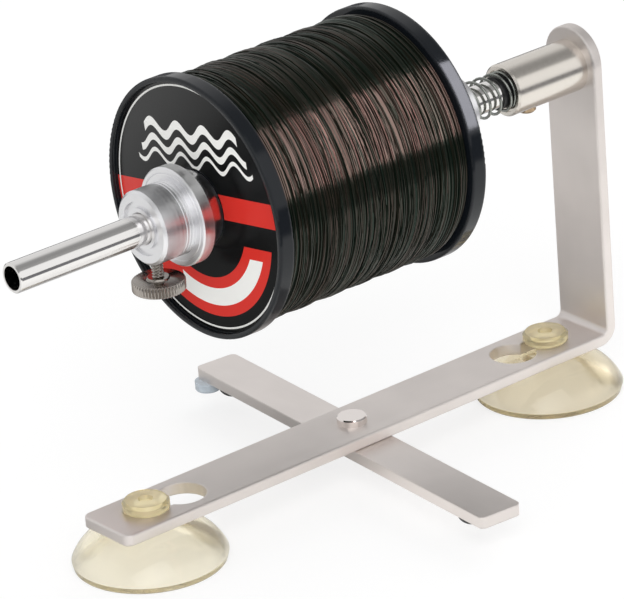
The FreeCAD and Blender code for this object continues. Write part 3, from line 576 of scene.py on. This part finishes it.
def knurl_thumb_screw(sizes, material):
    """The thumb screw with ridges round its head and a cut thread on its stud."""
    low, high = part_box("thumb_screw")
    middle = (low + high) / 2
    head = (high.x - low.x) / 2
    head_height, boss_height, dish = 4.9 * MM, 1.0 * MM, 0.25 * MM
    boss, stud = 4.5 * MM, 2.5 * MM
    top = low.z + head_height
    stud_start = top + boss_height

    # ridges with flat tops and roots, as a wheel rolls them
    slices, flank = 8, 1.5
    columns = sizes.knurls * slices
    angle = around(columns)
    ridge = np.abs(((np.arange(columns) % slices) / slices) * 2 - 1)
    ridge = np.clip(0.5 + flank * (ridge - 0.5), 0, 1)

    # how the head's edges round off: mm in from its face and its side, share of the ridges' depth
    rim = ((0.0, 1.0, 0.0), (0.3, 0.25, 0.6), (0.7, 0.0, 1.0))
    # how the boss stands on the head: mm above it, and mm past the boss's own radius
    foot = ((0.0, 0.6), (0.15, 0.1), (0.8, 0.0), (1.0, -0.2))
    # the outline from a shallow dish below to the stud: height, radius, share of the ridges' depth
    rows = [(low.z + dish, 0.0, 0), (low.z + dish, head * 0.55, 0), (low.z, head * 0.6, 0)]
    rows += [(low.z + inward * MM, head - in_by * MM, share) for inward, in_by, share in rim]
    rows += [(top - inward * MM, head - in_by * MM, share) for inward, in_by, share in rim[::-1]]
    rows += [(top + rise * MM, boss + out_by * MM, 0) for rise, out_by in foot]
    rows.append((stud_start, stud, 0))
    heights, radii, marks = (np.array(column)[:, None] for column in zip(*rows))
    radius = radii - sizes.knurl_depth * marks * (1 - ridge)[None, :]
    rings = np.stack([
        middle.x + radius * np.cos(angle), middle.y + radius * np.sin(angle), heights + 0 * radius,
    ], axis=-1)

    # a cut thread, whose root is a little flat
    thread_depth, root_width, rows_per_turn = 0.6 * MM, 1.4, 8
    turns = (high.z - stud_start) / sizes.thread_pitch
    height = np.linspace(stud_start, high.z, int(turns * rows_per_turn))[:, None]
    phase = (height / sizes.thread_pitch - angle[None, :] / (2 * math.pi)) % 1
    groove = np.clip(root_width * (1 - np.abs(phase * 2 - 1)), 0, 1)
    thread = stud - thread_depth * groove
    threads = np.stack([
        middle.x + thread * np.cos(angle), middle.y + thread * np.sin(angle), height + 0 * thread,
    ], axis=-1)

    points = np.concatenate([rings, threads])
    faces = grid_faces(len(points), columns)
    tip = (len(points) - 1) * columns
    faces.append(tuple(tip + corner for corner in reversed(range(columns))))
    piece = new_piece(
        "knurled_thumb_screw", points, faces, material, "thumb_screw_knob",
    )
    crease = math.radians(40)
    piece.data.set_sharp_from_angle(angle=crease)
    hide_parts("thumb_screw")


def label_print(colours):
    """Printed film: black, with a white border and waves, and a red band and arc."""
    material, tree, shader = new_material("printed_film_label", IOR=1.5, Roughness=0.22)
    # across and up on the disc, in millimetres from its middle, and turned a little
    slope = math.radians(8)
    disc = add_node(tree, "Mapping", {
        "Vector": add_node(tree, "TexCoord").outputs["Object"], "Location": (0, 0, -SHAFT_AXIS),
    })
    turned = add_node(tree, "VectorRotate", {
        "Vector": disc, "Angle": slope,
    }, rotation_type="X_AXIS")
    parts = add_node(tree, "SeparateXYZ", {"Vector": turned})
    across = add_node(tree, "Math", {0: parts.outputs["Y"], 1: -1 / MM}, operation="MULTIPLY")
    up = add_node(tree, "Math", {0: parts.outputs["Z"], 1: 1 / MM}, operation="MULTIPLY")
    spoke = add_node(tree, "CombineXYZ", {"X": across, "Y": up})
    reach = add_node(tree, "VectorMath", {0: spoke}, operation="LENGTH").outputs["Value"]
    # height over a wavy line
    wavelength, wave_height, wave_start = 17.0, 2.6, 0.4
    turn = add_node(tree, "Math", {
        0: across, 1: 2 * math.pi / wavelength, 2: wave_start,
    }, operation="MULTIPLY_ADD")
    swing = add_node(tree, "Math", {0: turn}, operation="SINE")
    wavy = add_node(tree, "Math", {0: swing, 1: wave_height, 2: up}, operation="MULTIPLY_ADD")

    def ink(shapes):
        """Where any of the shapes is: each keeps some values within so far of a middle."""
        covered = 0.0
        for limits in shapes:
            inside = 1.0
            for value, middle, half in limits:
                limit = add_node(tree, "Math", {0: value, 1: middle, 2: half}, operation="COMPARE")
                inside = add_node(tree, "Math", {0: limit, 1: inside}, operation="MULTIPLY")
            covered = add_node(tree, "Math", {0: inside, 1: covered}, operation="MAXIMUM")
        return covered

    # the band, and the arc below it
    red = ink((
        ((up, 2.0, 5.2),),
        ((reach, 37.5, 8.2), (up, -34.0, 21.0)),
    ))
    # the border, three waves, and a panel within the arc
    white = ink((
        ((reach, 50.6, 0.38),),
        ((wavy, 31.0, 1.9), (across, 3.0, 30.0)),
        ((wavy, 24.4, 1.5), (across, 3.0, 34.0)),
        ((wavy, 19.0, 0.9), (across, 3.0, 37.0)),
        ((reach, 37.5, 3.6), (up, -33.0, 15.0), (across, 12.0, 30.0)),
    ))
    print_red = add_node(tree, "Mix", {
        SHARE: red, FIRST: colours.label_ground, SECOND: colours.label_red,
    }, data_type="RGBA")
    print_all = add_node(tree, "Mix", {
        SHARE: white, FIRST: print_red.outputs[MIXED], SECOND: colours.label_white,
    }, data_type="RGBA")
    tree.links.new(print_all.outputs[MIXED], shader.inputs["Base Color"])
    # painted sheen: the film's matt varnish reflects more toward the upper left, so that a sheen
    # shows there
    slant = add_node(tree, "Math", {0: across, 1: -0.8, 2: up}, operation="MULTIPLY_ADD")
    painted_sheen = add_node(tree, "MapRange", {
        "Value": slant, "From Min": 12.0, "From Max": 62.0, "To Min": 0.06, "To Max": 0.55,
    })
    tree.links.new(painted_sheen.outputs[0], shader.inputs["Specular IOR Level"])
    return material


# The studio

# What gloss mirrors in the room, as height angle and level. The angle is seen along the shaft:
# 0 at the front's horizon, 0.5 overhead, 1 behind. Below a bright front wall lies a dark gap,
# above it a dim ceiling, and behind a paler wall.
ROOM = (
    (0.0, 0.2), (0.008, 0.2),
    (0.012, 1.0), (0.27, 1.0),
    (0.30, 0.36), (0.45, 0.30), (0.54, 0.34),
    (0.62, 0.64), (0.68, 0.78), (1.0, 0.82),
)
# A soft box above the front left of the room, that only rounded things mirror.
SIDE_BOX_LEVEL = 1.6
SIDE_BOX_ALONG = (-0.35, 0.4)
SIDE_BOX_HEIGHT = (0.30, 0.10)


def world_light(studio):
    """Even light for the object, white where the camera looks, and a room for gloss to mirror."""
    world = bpy.data.worlds.new("studio")
    bpy.context.scene.world = world
    world.use_nodes = True
    world.cycles.sampling_method = "NONE"
    tree = world.node_tree
    tree.nodes.clear()
    ray = add_node(tree, "LightPath")
    way = add_node(tree, "SeparateXYZ", {"Vector": add_node(tree, "TexCoord").outputs["Generated"]})
    front = add_node(tree, "Math", {0: way.outputs["Y"], 1: -1.0}, operation="MULTIPLY")
    turn = add_node(tree, "Math", {0: way.outputs["Z"], 1: front}, operation="ARCTAN2")
    height = add_node(tree, "Math", {0: turn, 1: math.pi}, operation="DIVIDE")
    ramp = add_node(tree, "ValToRGB", {"Fac": height})
    elements = ramp.color_ramp.elements
    elements.remove(elements[1])
    elements[0].position = ROOM[0][0]
    for position, _ in ROOM[1:]:
        elements.new(position)
    for element, (_, level) in zip(elements, ROOM):
        element.color = [level] * 3 + [1.0]
    beside = add_node(tree, "Math", {
        0: way.outputs["X"], 1: SIDE_BOX_ALONG[0], 2: SIDE_BOX_ALONG[1],
    }, operation="COMPARE")
    above = add_node(tree, "Math", {
        0: height, 1: SIDE_BOX_HEIGHT[0], 2: SIDE_BOX_HEIGHT[1],
    }, operation="COMPARE")
    box = add_node(tree, "Math", {0: beside, 1: above}, operation="MULTIPLY")
    side_box = add_node(tree, "Math", {0: box, 1: SIDE_BOX_LEVEL}, operation="MULTIPLY")
    seen = add_node(tree, "Math", {0: ramp, 1: side_box}, operation="MAXIMUM")
    gloss = add_node(tree, "Math", {0: ray.outputs["Is Glossy Ray"], 1: seen}, operation="MULTIPLY")
    even = add_node(tree, "Math", {
        0: ray.outputs["Is Diffuse Ray"], 1: studio.surroundings,
    }, operation="MULTIPLY")
    clear = add_node(tree, "Math", {
        0: ray.outputs["Is Camera Ray"], 1: ray.outputs["Is Transmission Ray"],
    }, operation="MAXIMUM")
    total = add_node(tree, "Math", {0: gloss, 1: even}, operation="ADD")
    level = add_node(tree, "Math", {0: total, 1: clear}, operation="MAXIMUM")
    background = add_node(tree, "Background", {"Color": (1, 1, 1, 1), "Strength": level})
    add_node(tree, "OutputWorld", {"Surface": background})


# How gloss sees the board: by name, the axis, the two places in metres that a change runs
# between, and the level that it reaches.
BOARD_CHANGES = (
    ("front_end", "Y", -0.36, -0.44, 1.0),
    ("back_end", "Y", 0.29, 0.36, 1.0),
    ("not_left", "X", -0.22, -0.12, 1.0),
    ("behind", "Y", 0.0, 0.02, 1.0),
    ("near", "Y", 0.16, 0.03, 0.42),
)


def add_floor(studio):
    """A wide pale floor that shows as white and keeps the winder's shadow."""
    material = bpy.data.materials.new("matt_white_board")
    material.use_nodes = True
    tree = material.node_tree
    tree.nodes.clear()
    ray = add_node(tree, "LightPath")
    place = add_node(tree, "TexCoord").outputs["Object"]
    parts = add_node(tree, "SeparateXYZ", {"Vector": place})
    at = {
        name: add_node(tree, "MapRange", {
            "Value": parts.outputs[axis], "From Min": start, "From Max": end, "To Max": level,
        })
        for name, axis, start, end, level in BOARD_CHANGES
    }
    # gloss sees the dark room past the board's two ends, and the winder's shade close behind it
    back = add_node(tree, "Math", {0: at["back_end"], 1: at["not_left"]}, operation="MULTIPLY")
    shade = add_node(tree, "Math", {0: at["behind"], 1: at["near"]}, operation="MULTIPLY")
    ends = add_node(tree, "Math", {0: at["front_end"], 1: back}, operation="MAXIMUM")
    dim = add_node(tree, "Math", {0: ends, 1: shade}, operation="MAXIMUM")
    dimmed = add_node(tree, "Math", {0: ray.outputs["Is Glossy Ray"], 1: dim}, operation="MULTIPLY")
    tint = add_node(tree, "Mix", {
        SHARE: dimmed, FIRST: studio.board, SECOND: studio.board_dim,
    }, data_type="RGBA").outputs[MIXED]
    grain = add_node(tree, "TexNoise", {"Vector": place, "Scale": 0.9 / MM, "Detail": 2.0})
    matt = add_node(tree, "MapRange", {"Value": grain, **NOISE_SPAN, "To Min": 0.4, "To Max": 0.6})
    paper = add_node(tree, "BsdfDiffuse", {"Color": tint, "Roughness": matt})
    # in front of the winder no shadow falls, so the board is brighter there
    sunny = add_node(tree, "MapRange", {
        "Value": parts.outputs["Y"], "From Min": 0.0, "From Max": -0.03,
        "To Min": 0.04, "To Max": 0.42,
    })
    lit = add_node(tree, "Emission", {"Color": tint, "Strength": sunny})
    board = add_node(tree, "AddShader", {0: paper, 1: lit})
    # the camera sees white, less the winder's shadow, which falls on the share that isn't glow
    own_light, lit_share = 0.74, 0.30
    glow = add_node(tree, "Emission", {"Color": (1, 1, 1, 1), "Strength": own_light})
    pale = add_node(tree, "BsdfDiffuse", {"Color": [lit_share] * 3 + [1.0]})
    white = add_node(tree, "AddShader", {0: glow, 1: pale})
    seen = add_node(tree, "Math", {
        0: ray.outputs["Is Camera Ray"], 1: ray.outputs["Is Transmission Ray"],
    }, operation="MAXIMUM")
    both = add_node(tree, "MixShader", {0: seen, 1: board, 2: white})
    add_node(tree, "OutputMaterial", {"Surface": both})
    mesh = bpy.data.meshes.new("floor")
    half = 15.0
    corners = [(-half, -half, 0), (half, -half, 0), (half, half, 0), (-half, half, 0)]
    mesh.from_pydata(corners, [], [(0, 1, 2, 3)])
    mesh.materials.append(material)
    floor = bpy.data.objects.new("floor", mesh)
    bpy.context.scene.collection.objects.link(floor)


def add_lamp(name, place, watts):
    """A large soft lamp aimed at the winder, left out of reflections."""
    lamp = bpy.data.lights.new(name, "AREA")
    lamp.shape = "SQUARE"
    lamp.size = 1.3
    lamp.energy = watts
    lantern = bpy.data.objects.new(name, lamp)
    lantern.location = place
    winder_middle = Vector((0, 0, 0.08))
    aim = winder_middle - lantern.location
    lantern.rotation_euler = aim.to_track_quat("-Z", "Y").to_euler()
    lantern.visible_camera = False
    lantern.visible_glossy = False
    bpy.context.scene.collection.objects.link(lantern)


def add_gloss_box(name, width, watts, tint, receiver):
    """A long soft box above the front, which one glossy black piece of the spool mirrors."""
    lamp = bpy.data.lights.new(name, "AREA")
    lamp.shape = "RECTANGLE"
    lamp.size, lamp.size_y = width, 1.77
    lamp.energy = watts
    lamp.color = tint[:3]
    lantern = bpy.data.objects.new(name, lamp)
    # from the shaft: how far along it, how far away, and how high
    along, away, rise = 1.02, 1.5, math.radians(37.5)
    lantern.location = (along, -away * math.cos(rise), SHAFT_AXIS + away * math.sin(rise))
    lantern.rotation_euler = (math.pi / 2 - rise, 0, 0)
    lantern.visible_camera = False
    lantern.visible_diffuse = False
    bpy.context.scene.collection.objects.link(lantern)
    lit = bpy.data.collections.new(name + "_receiver")
    lit.objects.link(receiver)
    lantern.light_linking.receiver_collection = lit


def add_camera(studio):
    """The camera that the winder is shown through."""
    azimuth, elevation = studio.azimuth, studio.elevation
    back = Vector((
        math.sin(azimuth) * math.cos(elevation),
        -math.cos(azimuth) * math.cos(elevation),
        math.sin(elevation),
    ))
    right = Vector((math.cos(azimuth), math.sin(azimuth), 0))
    level = Matrix((right, back.cross(right), back)).transposed().to_4x4()
    data = bpy.data.cameras.new("camera")
    data.lens = studio.lens
    data.clip_end = 100
    camera = bpy.data.objects.new("camera", data)
    camera.matrix_world = (
        Matrix.Translation(studio.place) @ level @ Matrix.Rotation(studio.roll, 4, "Z")
    )
    bpy.context.scene.collection.objects.link(camera)
    bpy.context.scene.camera = camera


# Operators


class WINDER_OT_stage(bpy.types.Operator):
    """Set up the floor, the soft light and the camera"""

    bl_idname = "winder.stage"
    bl_label = "Stage"

    def execute(self, context):
        studio = context.scene.winder_studio
        context.scene.view_settings.view_transform = "Standard"
        world_light(studio)
        add_floor(studio)
        add_lamp("key_lamp", (-1.0, -1.3, 1.5), studio.key)
        add_lamp("fill_lamp", (1.4, 0.5, 1.3), studio.fill)
        add_camera(studio)
        return {"FINISHED"}


class WINDER_OT_bars(bpy.types.Operator):
    """Finish the bent bar, the cross bar and the rivet that joins them"""

    bl_idname = "winder.bars"
    bl_label = "Bars"

    def execute(self, context):
        tint = context.scene.winder_colours.bar
        # brush lines 33 mm long and 0.4 mm apart, drawn coarser than the real 0.1 mm
        along, across = 0.03 / MM, 2.6 / MM
        # the gloss smears this way: across the brushing, and tilted so that it is no face's normal
        main, off = 1.0, 0.02
        bent = satin_aluminium(
            "anodised_bar_along_x_and_z", tint, (along, across, along), (off, main, off),
        )
        cross = satin_aluminium(
            "anodised_bar_along_y", tint, (across, along, across), (main, off, off),
        )
        finish_node("base_bracket", bent)
        finish_node("cross_bar", cross)
        finish_node("pivot_rivet", plated_steel("polished_rivet", tint, 0.08, 0.12))
        return {"FINISHED"}


class WINDER_OT_shaft(bpy.types.Operator):
    """Finish the shaft, its housing, bush, bolt, washer and lock screw"""

    bl_idname = "winder.shaft"
    bl_label = "Shaft and housing"

    def execute(self, context):
        colours = context.scene.winder_colours
        zinc = plated_steel("zinc_plated_fastener", colours.zinc, 0.22, 0.34)
        housing = turned_aluminium("turned_housing", colours.housing, 0.20, 0.26, 0.01)
        finish_node("shaft", drawn_aluminium("polished_tube", colours.tube))
        finish_node("shaft_housing", housing)
        finish_node("shaft_bush", moulded_acetal("acetal_bush", colours.rubber))
        finish_node("housing_bolt", zinc)
        finish_node("housing_washer", zinc)
        finish_node("housing_lock_screw", plated_steel("brass_screw", colours.brass, 0.2, 0.3))
        return {"FINISHED"}


class WINDER_OT_hubs(bpy.types.Operator):
    """Finish the two taper hubs"""

    bl_idname = "winder.hubs"
    bl_label = "Hubs"

    def execute(self, context):
        tint = context.scene.winder_colours.turned
        metal = turned_aluminium("turned_hub", tint, 0.28, 0.40, 0.03)
        finish_node("front_hub", metal)
        finish_node("rear_hub", metal)
        return {"FINISHED"}


class WINDER_OT_spring(bpy.types.Operator):
    """Coil the drag spring"""

    bl_idname = "winder.spring"
    bl_label = "Drag spring"

    def execute(self, context):
        scene = context.scene
        metal = plated_steel("zinc_plated_wire", scene.winder_colours.wire, 0.18, 0.30)
        coil_spring(scene.winder_sizes, metal)
        return {"FINISHED"}


class WINDER_OT_thumb_screw(bpy.types.Operator):
    """Knurl and thread the thumb screw"""

    bl_idname = "winder.thumb_screw"
    bl_label = "Thumb screw"

    def execute(self, context):
        scene = context.scene
        metal = plated_steel("black_nickel_screw", scene.winder_colours.nickel, 0.12, 0.20)
        knurl_thumb_screw(scene.winder_sizes, metal)
        return {"FINISHED"}


class WINDER_OT_spool(bpy.types.Operator):
    """Finish the spool, wind its line, print its label and light its gloss"""

    bl_idname = "winder.spool"
    bl_label = "Spool, line and label"

    def execute(self, context):
        scene = context.scene
        colours, studio = scene.winder_colours, scene.winder_studio
        plastic = moulded_polystyrene("moulded_spool", colours.spool)
        for name in ("spool_front_flange", "spool_rear_flange", "spool_core"):
            finish_node(name, plastic)
        wind_line(scene.winder_sizes, nylon_line("nylon_line", colours))
        finish_node("front_label", label_print(colours))
        line, rim = bpy.data.objects["wound_line_turns"], nodes["spool_rear_flange"]
        add_gloss_box("line_box", 2.4, studio.line_box, studio.line_box_tint, line)
        add_gloss_box("rim_box", 1.2, studio.rim_box, studio.rim_box_tint, rim)
        return {"FINISHED"}


class WINDER_OT_cups_and_feet(bpy.types.Operator):
    """Finish the suction cups, the rubber feet and the clear pad"""

    bl_idname = "winder.cups_and_feet"
    bl_label = "Cups and feet"

    def execute(self, context):
        colours = context.scene.winder_colours
        for node, name, bell in (
            ("front_suction_cup", "clear_soft_pvc", colours.bell),
            # painted shade: the rear cup's darker skin stands in for the shade it lies in
            ("rear_suction_cup", "shade_darkened_soft_pvc", colours.bell_painted_shade),
        ):
            finish_node(node, soft_pvc(name, colours.cup, bell, colours.head))
        rubber = moulded_rubber("black_rubber_foot", colours.rubber)
        for name in ("left_rubber_foot", "right_rubber_foot"):
            finish_node(name, rubber)
        finish_node("clear_pad", clear_polyurethane("clear_polyurethane_pad", colours.pad))
        return {"FINISHED"}


OPERATORS = (
    WINDER_OT_stage,
    WINDER_OT_bars,
    WINDER_OT_shaft,
    WINDER_OT_hubs,
    WINDER_OT_spring,
    WINDER_OT_thumb_screw,
    WINDER_OT_spool,
    WINDER_OT_cups_and_feet,
)
GROUPS = (
    ("winder_colours", WinderColours),
    ("winder_sizes", WinderSizes),
    ("winder_studio", WinderStudio),
)


class WINDER_PT_panel(bpy.types.Panel):
    """Sizes, colours and steps of the line winder"""

    bl_idname = "WINDER_PT_panel"
    bl_label = "Line winder"
    bl_space_type = "VIEW_3D"
    bl_region_type = "UI"
    bl_category = "Line Winder"

    def draw(self, context):
        for name, group in GROUPS:
            box = self.layout.box()
            for field in group.__annotations__:
                box.prop(getattr(context.scene, name), field)
        for operator in OPERATORS:
            self.layout.operator(operator.bl_idname)


def register():
    for name, group in GROUPS:
        bpy.utils.register_class(group)
        setattr(bpy.types.Scene, name, bpy.props.PointerProperty(type=group))
    for operator in OPERATORS:
        bpy.utils.register_class(operator)
    bpy.utils.register_class(WINDER_PT_panel)


def unregister():
    bpy.utils.unregister_class(WINDER_PT_panel)
    for operator in reversed(OPERATORS):
        bpy.utils.unregister_class(operator)
    for name, group in reversed(GROUPS):
        delattr(bpy.types.Scene, name)
        bpy.utils.unregister_class(group)


def main():
    """Register the add-on and run its steps in order."""
    register()
    for operator in OPERATORS:
        group, name = operator.bl_idname.split(".")
        getattr(getattr(bpy.ops, group), name)()
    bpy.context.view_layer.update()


if __name__ == "__main__":
    main()
